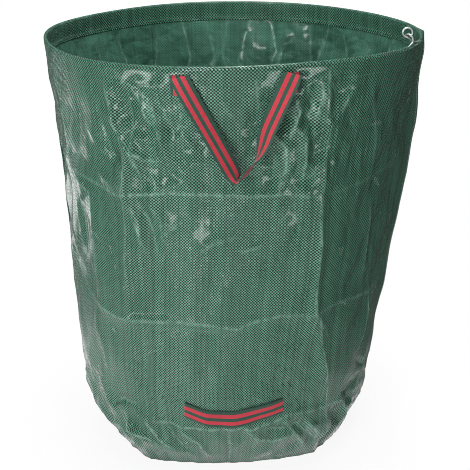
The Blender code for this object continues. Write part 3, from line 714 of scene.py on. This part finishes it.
def mark_crease_white_and_highlight(piece, angle, height):
    """Keep on the piece how much each of its points is whitened along creases: partly real
    whitening, partly a painted highlight.
    """
    _, crease_white_and_highlight = crease_lift(angle, height)
    kept = piece.data.attributes.new("crease_white_and_highlight", "FLOAT", "POINT")
    kept.data.foreach_set("value", crease_white_and_highlight.astype(np.float32))


def grid_shares(columns, rows):
    """Shares across and along a grid's points, in the order of the grid."""
    across, along = np.meshgrid(np.linspace(0, 1, columns + 1), np.linspace(0, 1, rows + 1))
    return across.ravel(), along.ravel()


def smooth_route(points, steps):
    """Points on a smooth curve through chosen points."""
    points = [np.asarray(point, float) for point in points]
    ends = [2 * points[0] - points[1], *points, 2 * points[-1] - points[-2]]
    route = []
    for before, here, there, after in zip(ends, ends[1:], ends[2:], ends[3:]):
        for step in range(steps):
            t = step / steps
            route.append(0.5 * (
                2 * here + (there - before) * t
                + (2 * before - 5 * here + 4 * there - after) * t * t
                + (3 * here - before - 3 * there + after) * t * t * t
            ))
    route.append(points[-1])
    return np.array(route)


def lay_strap(name, middles, widths, material, columns=10, width=WEBBING_WIDTH):
    """Webbing along a line of middles; widths points from its lower to its upper edge."""
    middles, widths = np.asarray(middles), np.asarray(widths)
    widths = widths / np.linalg.norm(widths, axis=1, keepdims=True)
    steps = np.linalg.norm(np.diff(middles, axis=0), axis=1)
    length = float(steps.sum())
    rows = len(middles) - 1

    def place(across, along):
        index = np.clip(np.rint(along * rows).astype(int), 0, rows)
        return middles[index] + widths[index] * ((across - 0.5) * width)[:, None]

    strap = grid_piece(name, columns, rows, place, (1.0, length), material)
    thicken(strap, WEBBING, 0.0)
    soft_edges(strap)
    return strap


def soft_edges(piece):
    """Round the selvedges a little."""
    bevel = piece.modifiers.new("selvedge", "BEVEL")
    bevel.width = 0.0004
    bevel.segments = 2
    bevel.limit_method = "ANGLE"
    bevel.angle_limit = math.radians(50)


# the near-black wefts of the outer and base fabric are painted shade between the warps
green_sheet = woven_polypropylene("woven polypropylene tape fabric", "4F866F", "010704")
# inside the bag the film is thicker and hides the weave
film_side = woven_polypropylene("film side of polypropylene fabric", "3C6A58", "274B3E", 0.0001)
floor_sheet = woven_polypropylene("woven polypropylene base fabric", "5A8C78", "0A2018")
webbing = striped_webbing()
zinc = zinc_plated_wire()
# the side seam's thread is green like the hem's; its pale colour is a painted highlight on the
# stitches
seam_thread_painted_highlight = sewing_thread("green polyester thread painted pale as highlight", "B7D0C2")
green_thread = sewing_thread("green polyester thread", "3C6B57")


# Wall: one sheet sewn into a tube, in the six panels between its packing folds. It goes up to the
# wire, and the hem piece takes over there.

def make_wall_panel(name, index, columns, rows):
    def where(across, along):
        height = along * SPRING_LINE
        low, high = folds(height)[index:index + 2]
        return np.radians(low + (high - low) * across), height

    def place(across, along):
        return sheet_point(*where(across, along))

    def cloth(across, along):
        angle, height = where(across, along)
        return np.stack((angle * ROUND, height), axis=-1)

    panel = grid_piece(name, columns, rows, place, cloth, green_sheet)
    mark_crease_white_and_highlight(panel, *where(*grid_shares(columns, rows)))
    thicken(panel, FABRIC, back=film_side)
    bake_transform(panel)
    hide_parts("wall")


for index, side in enumerate(("left", "front", "right")):
    make_wall_panel(f"wall_{side}_panel", index, 176, 256)
for index, side in enumerate(("far_right", "far", "far_left")):
    make_wall_panel(f"wall_{side}_panel", index + 3, 130, 190)


# Hem: the sheet's top edge folded inwards over the hoop and sewn down

def hem_section(along):
    """Height, inset from the outer face, and share of the seam's pinch, along the hem."""
    bend = 0.30
    turn = math.pi * np.clip(along / bend, 0, 1)
    down = np.clip((along - bend) / (1 - bend), 0, 1)
    height = SPRING_LINE + HEM_FOLD * np.sin(turn) - (SPRING_LINE - HEM_BOTTOM + 0.003) * down
    inset = HEM_FOLD * (1 - np.cos(turn)) - (2 * HEM_FOLD - HEM_INSET) * smoothstep(down / 0.85)
    return height, inset, np.cos(turn / 2) ** 4


def make_hem():
    columns, rows = 524, 34

    def place(across, along):
        height, inset, pinch = hem_section(along)
        return sheet_point(np.radians(-180 + 360 * across), height, inset, pinch)

    hem = grid_piece("rim_hem_sheet", columns, rows, place, (ROUND * 2 * math.pi, 0.044),
                     green_sheet)
    across, along = grid_shares(columns, rows)
    mark_crease_white_and_highlight(hem, np.radians(-180 + 360 * across), hem_section(along)[0])
    shape = bmesh.new()
    shape.from_mesh(hem.data)
    # over the slit only the outer layer goes on, and the two ends of the wire come out
    opened = []
    for face in shape.faces:
        middle = face.calc_center_median()
        angle = math.degrees(math.atan2(middle.y, middle.x - CENTRE_X))
        if SLIT[0] < angle < SLIT[1] and middle.z > HEM_BOTTOM + 0.008:
            opened.append(face)
    bmesh.ops.delete(shape, geom=opened, context="FACES")
    bmesh.ops.remove_doubles(shape, verts=shape.verts, dist=1e-6)
    shape.to_mesh(hem.data)
    shape.free()
    thicken(hem, FABRIC)
    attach(hem, "rim")
    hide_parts("rim_hem")


make_hem()


# Base panel, and the sewn edge turned up inside the foot

def make_base():
    def place(across, along):
        angle = 2 * math.pi * across - math.pi
        edge = sheet_point(angle, 0.0 * angle, inset=FABRIC + GAP)
        middle = np.array((CENTRE_X - FLOOR_LEAN, 0.0, 0.0))
        share = np.maximum(along, 0.002)[:, None]
        spot = middle + (edge - middle) * share
        swell = 0.0022 * np.sin(3 * angle + 5 * along) * np.sin(7 * along + 1.1)
        swell = swell * (1 - along) * along * 4
        spot[:, 2] = FABRIC + 0.0003 + np.abs(swell)
        return spot

    base = grid_piece("base_sheet", 160, 40, place, (1.0, 1.0), floor_sheet)
    # the cloth map lies flat on the panel, as the sheet does
    points = np.empty(len(base.data.vertices) * 3)
    base.data.vertices.foreach_get("co", points)
    corners = np.empty(len(base.data.loops), np.int32)
    base.data.loops.foreach_get("vertex_index", corners)
    flat = points.reshape(-1, 3)[:, :2] + 0.5
    base.data.uv_layers["cloth"].data.foreach_set("uv", flat[corners].astype(np.float32).ravel())
    shape = bmesh.new()
    shape.from_mesh(base.data)
    bmesh.ops.remove_doubles(shape, verts=shape.verts, dist=1e-5)
    # one face closes the small hole in the middle
    inner = [v for v in shape.verts if v.is_boundary and (v.co.x - CENTRE_X + FLOOR_LEAN) ** 2
             + v.co.y ** 2 < 0.01]
    bmesh.ops.contextual_create(shape, geom=inner + [
        e for e in shape.edges if e.is_boundary and all(v in inner for v in e.verts)])
    bmesh.ops.recalc_face_normals(shape, faces=shape.faces)
    if max(shape.faces, key=lambda face: face.calc_area()).normal.z < 0:
        bmesh.ops.reverse_faces(shape, faces=shape.faces)
    shape.to_mesh(base.data)
    shape.free()
    thicken(base, FABRIC)
    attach(base, "base")
    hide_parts("base_panel")
    return base


def make_foot_seam():
    def place(across, along):
        angle = 2 * math.pi * across - math.pi
        ruffle = 0.0007 * np.sin(angle * 46) + 0.0005 * np.sin(angle * 71 + 1)
        height = 0.0018 + along * (0.0095 + ruffle)
        inset = FABRIC + GAP + 0.0002 + (0.0008 + 0.8 * np.abs(ruffle)) * along
        spot = sheet_point(angle, 0.0 * angle, inset=inset)
        spot[:, 2] = height
        return spot

    seam = grid_piece("foot_seam_edge", 300, 6, place, (1.55, 0.012), floor_sheet)
    shape = bmesh.new()
    shape.from_mesh(seam.data)
    bmesh.ops.remove_doubles(shape, verts=shape.verts, dist=1e-6)
    shape.to_mesh(seam.data)
    shape.free()
    thicken(seam, 2 * FABRIC)
    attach(seam, "base")
    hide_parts("foot_seam")
    return seam


base_sheet = make_base()
foot_seam = make_foot_seam()


# Hoop of spring wire, with a hook on one end through an eye on the other

def ring_point(radius, degrees, height):
    angle = math.radians(degrees)
    wave = float(rim_wave(np.array(angle), np.array(height)))
    return np.array((CENTRE_X + radius * math.cos(angle), radius * math.sin(angle),
                     height + wave))


def make_hoop():
    eye = ring_point(HOOP_RADIUS - EYE_INSET, EYE_ANGLE, HOOP_HEIGHT + EYE_RISE)
    around = [
        ring_point(HOOP_RADIUS, SLIT[0] - step * 1.5, HOOP_HEIGHT) for step in range(233)
    ]
    hook = [eye + EYE_RING * np.array(place) for place in HOOK_ROUTE]
    stem = [eye + EYE_RING * np.array(place) for place in STEM_ROUTE]
    loop = []
    for step in range(49):
        turn = math.radians(-90 - EYE_TURN * step / 48)
        loop.append(eye + EYE_RING * np.array((math.cos(turn), 0, math.sin(turn))))
    hook_end = smooth_route([*hook, around[0]], 8)
    stem_end = smooth_route([around[-1], *stem, loop[0]], 8)
    curve = bpy.data.curves.new("hoop_wire", "CURVE")
    curve.dimensions = "3D"
    curve.use_fill_caps = True
    curve.bevel_depth = WIRE / 2
    curve.bevel_resolution = 4
    route = [*hook_end, *around[1:-1], *stem_end, *loop[1:]]
    spline = curve.splines.new("POLY")
    spline.points.add(len(route) - 1)
    for index, place in enumerate(route):
        spline.points[index].co = (*place, 1)
    spline.use_smooth = True
    curve.materials.append(zinc)
    hoop = bpy.data.objects.new("hoop_wire", curve)
    bpy.context.scene.collection.objects.link(hoop)
    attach(hoop, "rim")
    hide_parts("rim_hoop")


make_hoop()


# Handles

def make_carrying_handle(label, facing):
    """The hanging loop and its two sewn ends."""
    turned = np.array(Matrix.Rotation(facing, 3, "Z"))
    pivot = np.array((HANDLE_OFFSET, -HANDLE_PLANE, HANDLE_FOLD + HANDLE_PIVOT_RISE))
    centre = np.array((CENTRE_X, 0.0, 0.0))
    chosen = smooth_route([
        (along * HANDLE_HALF, -HANDLE_PIVOT_RISE - down * HANDLE_DROP, math.radians(twist))
        for along, down, twist in HANDLE_ROUTE
    ], 8)
    middles, widths = [], []
    for index, (x, z, twist) in enumerate(chosen):
        before = chosen[max(index - 1, 0)]
        after = chosen[min(index + 1, len(chosen) - 1)]
        inwards = np.array((before[1] - after[1], 0, after[0] - before[0]))
        inwards = inwards / np.linalg.norm(inwards)
        middles.append(pivot + (x, -math.sin(twist) * WEBBING_WIDTH / 2, z))
        # the strap turns off its sewn end over a slanting fold
        folded = 0.5 * (1 - smoothstep(min(index, len(chosen) - 1 - index) / 10))
        across = inwards * (1 - folded) + np.array((inwards[0] / abs(inwards[0]), 0, 0)) * folded
        across = across / np.linalg.norm(across)
        widths.append(across * math.cos(twist) + np.array((0, 1, 0)) * math.sin(twist))
    middles = np.array(middles) @ turned.T + centre
    widths = np.array(widths) @ turned.T
    strap = lay_strap(f"{label}_handle_strap", middles, widths, webbing)
    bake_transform(strap)
    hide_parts(f"{label}_handle")
    for side, side_name in ((-1, "left"), (1, "right")):
        x = HANDLE_OFFSET + side * HANDLE_HALF
        middle_angle = -math.acos(x / RIM_RADIUS) + facing
        half_turn = WEBBING_WIDTH / 2 / RIM_RADIUS

        def place(across, along, middle_angle=middle_angle, half_turn=half_turn):
            angle = middle_angle + (across * 2 - 1) * half_turn
            height = HANDLE_FOLD - (1 - along) * TAB_LENGTH
            spot = sheet_point(angle, height)
            return spot + sheet_normal(angle, height) * (GAP + WEBBING / 2)

        tab = grid_piece(f"{label}_handle_sewn_end_{side_name}", 10, 12, place,
                         (1.0, TAB_LENGTH), webbing)
        thicken(tab, WEBBING, 0.0)
        soft_edges(tab)
        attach(tab, "rim")
        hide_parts(f"{label}_handle_tab_{side_name}")


def wall_angle(x, height):
    """Angles on the front at which the wall is at sideways places and heights."""
    across = x - CENTRE_X - lean(height)
    angle = np.full_like(across, -math.pi / 2)
    for _ in range(6):
        spot = sheet_point(angle, height)
        radius = np.hypot(spot[:, 0] - CENTRE_X - lean(height), spot[:, 1])
        angle = -np.arccos(np.clip(across / radius, -1, 1))
    return angle


def make_tipping_handle():
    """Two sewn ends flat on the wall, and the slack strap over them, in two halves."""
    clear = 2 * GAP + WEBBING / 2
    over = clear + WEBBING + 2 * GAP
    chosen = smooth_route([
        (along, LOWER_HEIGHT + along * LOWER_TILT / 2 - sag * LOWER_SAG)
        for along, sag in LOWER_ROUTE
    ], 8)
    along, z = chosen.T
    x = CENTRE_X + LOWER_OFFSET + along * LOWER_HALF
    normal = np.zeros((len(x), 3))
    for dx in (-0.012, 0, 0.012):
        for dz in (-0.010, 0, 0.010):
            normal += sheet_normal(wall_angle(x + dx, z + dz), z + dz)
    normal /= np.linalg.norm(normal, axis=1, keepdims=True)
    upwards = np.cross(normal, (1, 0, 0))
    upwards /= np.linalg.norm(upwards, axis=1, keepdims=True)
    slack = np.radians(LOWER_SLACK) * (1 - along * along)[:, None]
    reach = over + np.sin(slack) * WEBBING_WIDTH / 2
    middles = sheet_point(wall_angle(x, z), z) + normal * reach
    widths = upwards * np.cos(slack) - normal * np.sin(slack)
    # the strap is stiffer than the small dents behind it
    for _ in range(10):
        middles[1:-1] = (middles[:-2] + 2 * middles[1:-1] + middles[2:]) / 4
    half = len(middles) // 2
    halves = (("left", slice(0, half + 1), -1), ("right", slice(half, None), 1))
    for side_name, part, side in halves:
        strap = lay_strap(f"lower_handle_strap_{side_name}", middles[part], widths[part], webbing)
        x = CENTRE_X + LOWER_OFFSET + side * LOWER_HALF
        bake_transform(strap)
        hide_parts("lower_handle")
    for side_name, side in (("left", -1), ("right", 1)):
        x_end = CENTRE_X + LOWER_OFFSET + side * LOWER_HALF
        z_end = LOWER_HEIGHT + side * LOWER_TILT / 2
        slope = 0.42 if side < 0 else 0.09

        def place(across, along, x_end=x_end, z_end=z_end, side=side, slope=slope):
            inward = (across if side < 0 else 1 - across) * LOWER_TAB_LENGTH
            height = z_end + (along - 0.5) * WEBBING_WIDTH - inward * slope
            angle = wall_angle(x_end - side * inward, height)
            return sheet_point(angle, height) + sheet_normal(angle, height) * clear

        tab = grid_piece(f"lower_handle_sewn_end_{side_name}", 8, 8, place,
                         (LOWER_TAB_LENGTH, 1.0), webbing)
        # the stripes run along the strap, so the cloth map is turned
        cloth = tab.data.uv_layers["cloth"].data
        for corner in cloth:
            corner.uv = (corner.uv[1], corner.uv[0])
        thicken(tab, WEBBING, 0.0)
        soft_edges(tab)
        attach(tab, "base")
        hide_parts(f"lower_handle_tab_{side_name}")


make_carrying_handle("front", 0.0)
make_carrying_handle("back", math.pi)
make_tipping_handle()


# Sewing

def sew(name, starts, ends, outwards, material, bodies):
    """A row of stitches, each a short raised thread from a start to an end on the sheet."""
    one = bmesh.new()
    bmesh.ops.create_uvsphere(one, u_segments=6, v_segments=4, radius=1.0)
    stitch = bpy.data.meshes.new("stitch")
    one.to_mesh(stitch)
    one.free()
    shape = bmesh.new()
    for start, end, out in zip(starts, ends, outwards):
        along = Vector(end - start)
        side = along.cross(Vector(out)).normalized()
        up = side.cross(along).normalized()
        turned = Matrix((side, along.normalized(), up)).transposed()
        sized = turned @ Matrix.Diagonal((THREAD / 2, along.length / 2, THREAD / 2))
        placed = stitch.copy()
        placed.transform(Matrix.Translation(Vector(start + end) / 2) @ sized.to_4x4())
        shape.from_mesh(placed)
        bpy.data.meshes.remove(placed)
    bmesh.ops.recalc_face_normals(shape, faces=shape.faces)
    mesh = bpy.data.meshes.new(name)
    shape.to_mesh(mesh)
    shape.free()
    bpy.data.meshes.remove(stitch)
    mesh.shade_smooth()
    mesh.materials.append(material)
    piece = bpy.data.objects.new(name, mesh)
    bpy.context.scene.collection.objects.link(piece)
    if len(bodies) == 1:
        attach(piece, bodies[0])
    else:
        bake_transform(piece)
    return piece


def sew_side_seam():
    heights = np.arange(0.020, 0.735, 0.0055)
    angle = np.full_like(heights, -0.0065 / 0.32)
    starts = sheet_point(angle, heights)
    ends = sheet_point(angle, heights + 0.0036)
    # pale thread: a painted highlight on the green stitches
    sew("side_seam_stitches", starts, ends, sheet_normal(angle, heights), seam_thread_painted_highlight,
        ("base", "rim"))


def sew_hem():
    angle = np.radians(np.arange(-180, 180, 1.0))
    height = np.full_like(angle, HEM_BOTTOM + 0.004)
    starts = sheet_point(angle, height)
    ends = sheet_point(angle + math.radians(0.65), height)
    normals = sheet_normal(angle, height)
    sew("hem_stitches_outside", starts, ends, normals, green_thread, ("rim",))
    inset = HEM_INSET + FABRIC
    starts = sheet_point(angle, height, inset=inset)
    ends = sheet_point(angle + math.radians(0.65), height, inset=inset)
    sew("hem_stitches_inside", starts, ends, -normals, green_thread, ("rim",))


sew_side_seam()
sew_hem()


# Studio

# Painted pools of light, glowing on the paper for reflections only: middle, reach of the full
# light, reach of the last, strength
PAINTED_POOLS = (
    ((-0.05, -1.85, 0), 0.90, 1.35, 1.2),
    ((-0.95, -1.60, 0), 0.18, 0.38, 12.0),
    ((0.80, -1.60, 0), 0.18, 0.38, 10.0),
    ((-1.65, -1.25, 0), 0.30, 0.52, 15.0),
    ((-2.05, -0.60, 0), 0.12, 0.34, 4.0),
    ((1.30, -1.38, 0), 0.24, 0.46, 13.0),
    ((-1.15, 0.92, 0), 0.26, 0.44, 3.6),
    ((-0.16, -0.12, 0), 0.42, 0.66, 1.2),
)


def area_light(name, place, aim, size, power, mirrored=True):
    """A soft lamp; one that isn't mirrored lights the bag and leaves no glint on it."""
    lamp = bpy.data.lights.new(name, "AREA")
    lamp.shape = "RECTANGLE"
    lamp.size, lamp.size_y = size
    lamp.energy = power
    light = bpy.data.objects.new(name, lamp)
    bpy.context.scene.collection.objects.link(light)
    light.location = place
    light.rotation_euler = (Vector(aim) - Vector(place)).to_track_quat("-Z", "Y").to_euler()
    light.visible_glossy = mirrored


def make_floor():
    """White seamless paper, lit so brightly that the camera sees little more than its white.

    The camera's share of it is white with a little of the real shadow left in; what the bag
    reflects is not the paper under the lamps but painted pools of light, glowing on it for
    reflections only, with a painted dim glow between them.
    """
    material, tree, shader = new_material("white studio paper")
    shader.inputs["Base Color"].default_value = colour("F0F0F0")
    shader.inputs["Roughness"].default_value = 0.9
    shader.inputs["Specular IOR Level"].default_value = 0.2
    rays = add_node(tree, "ShaderNodeLightPath")
    spot = add_node(tree, "ShaderNodeTexCoord")
    reach = add_node(tree, "ShaderNodeVectorMath", {0: spot.outputs["Object"]},
                     operation="LENGTH")
    share = add_node(tree, "ShaderNodeMapRange", {0: reach.outputs["Value"], 1: 0.35, 2: 0.62,
                                                  3: 0.90, 4: 1.0})
    seen = add_node(tree, "ShaderNodeMath", {0: rays.outputs["Is Camera Ray"],
                                             1: share.outputs[0]}, operation="MULTIPLY")
    white = add_node(tree, "ShaderNodeEmission", {0: (1, 1, 1, 1), 1: 1.0})
    mixed = add_node(tree, "ShaderNodeMixShader", {0: seen.outputs[0], 1: shader.outputs[0],
                                                   2: white.outputs[0]})
    # what the bag mirrors of the paper: painted pools of light glowing on it, and a painted dim
    # glow between them that fades towards the right
    split = add_node(tree, "ShaderNodeSeparateXYZ", {0: spot.outputs["Object"]})
    total = add_node(tree, "ShaderNodeMapRange", {0: split.outputs[0], 1: 0.1, 2: 0.8,
                                                  3: 0.20, 4: 0.05})
    for centre, inner, outer, strength in PAINTED_POOLS:
        away = add_node(tree, "ShaderNodeVectorMath", {0: spot.outputs["Object"], 1: centre},
                        operation="DISTANCE")
        glow = add_node(tree, "ShaderNodeMapRange", {0: away.outputs["Value"], 1: inner,
                                                     2: outer, 3: strength, 4: 0.0})
        total = add_node(tree, "ShaderNodeMath", {0: total.outputs[0], 1: glow.outputs[0]})
    painted_pool_glow = add_node(tree, "ShaderNodeEmission", {0: (1, 1, 1, 1), 1: total.outputs[0]})
    # reflections see the painted glow of the pools, everything else sees the paper
    lit = add_node(tree, "ShaderNodeMixShader", {0: rays.outputs["Is Glossy Ray"],
                                                 1: mixed.outputs[0], 2: painted_pool_glow.outputs[0]})
    tree.links.new(lit.outputs[0], tree.nodes["Material Output"].inputs[0])
    mesh = bpy.data.meshes.new("floor")
    shape = bmesh.new()
    bmesh.ops.create_grid(shape, x_segments=1, y_segments=1, size=6.0)
    shape.to_mesh(mesh)
    shape.free()
    mesh.materials.append(material)
    floor = bpy.data.objects.new("floor", mesh)
    bpy.context.scene.collection.objects.link(floor)
    floor.location = (0, 0, -0.0004)


def make_world():
    """A white backdrop for the camera, in a room that grows darker towards the right."""
    world = bpy.data.worlds.new("studio")
    bpy.context.scene.world = world
    world.use_nodes = True
    tree = world.node_tree
    tree.nodes.clear()
    rays = add_node(tree, "ShaderNodeLightPath")
    seen = add_node(tree, "ShaderNodeMath", {0: rays.outputs["Is Camera Ray"],
                                             1: rays.outputs["Is Transmission Ray"]},
                    operation="MAXIMUM")
    way = add_node(tree, "ShaderNodeTexCoord")
    split = add_node(tree, "ShaderNodeSeparateXYZ", {0: way.outputs["Generated"]})
    side = add_node(tree, "ShaderNodeMapRange", {0: split.outputs[0], 1: -0.9, 2: 0.7,
                                                 3: 0.58, 4: 0.04})
    dim = add_node(tree, "ShaderNodeMix", {0: rays.outputs["Is Glossy Ray"],
                                           2: side.outputs[0], 3: 0.08})
    room = add_node(tree, "ShaderNodeBackground", {0: (1, 1, 1, 1), 1: dim.outputs[0]})
    backdrop = add_node(tree, "ShaderNodeBackground", {0: (1, 1, 1, 1), 1: 1.0})
    mixed = add_node(tree, "ShaderNodeMixShader", {0: seen.outputs[0], 1: room.outputs[0],
                                                   2: backdrop.outputs[0]})
    add_node(tree, "ShaderNodeOutputWorld", {0: mixed.outputs[0]})


def make_camera():
    """Two metres in front of the bag and a little above it, as the photo was taken."""
    lens = bpy.data.cameras.new("camera")
    lens.sensor_width = 36
    lens.lens = 85.63
    camera = bpy.data.objects.new("camera", lens)
    bpy.context.scene.collection.objects.link(camera)
    camera.location = (0, -2.0, 1.110)
    camera.rotation_euler = (math.radians(69.64), 0, 0)
    bpy.context.scene.camera = camera


area_light("window", (-1.3, -3.2, 1.05), (0, 0, 0.4), (0.9, 0.9), 46)
area_light("curtain", (-1.3, -3.2, 1.25), (0, 0, 0.4), (1.8, 1.8), 36, mirrored=False)
area_light("ceiling", (0.1, -0.1, 2.6), (0, 0, 0.4), (1.1, 1.1), 72)
area_light("back wall", (-0.8, 2.9, 1.2), (0, 0, 0.4), (1.8, 1.4), 60, mirrored=False)
area_light("far corner", (1.4, 2.9, 1.2), (0, 0, 0.4), (1.8, 1.4), 50, mirrored=False)
make_floor()
make_world()
make_camera()

scene = bpy.context.scene
scene.view_settings.view_transform = "Standard"
# the photo shows the weave crisply
scene.cycles.filter_width = 0.9
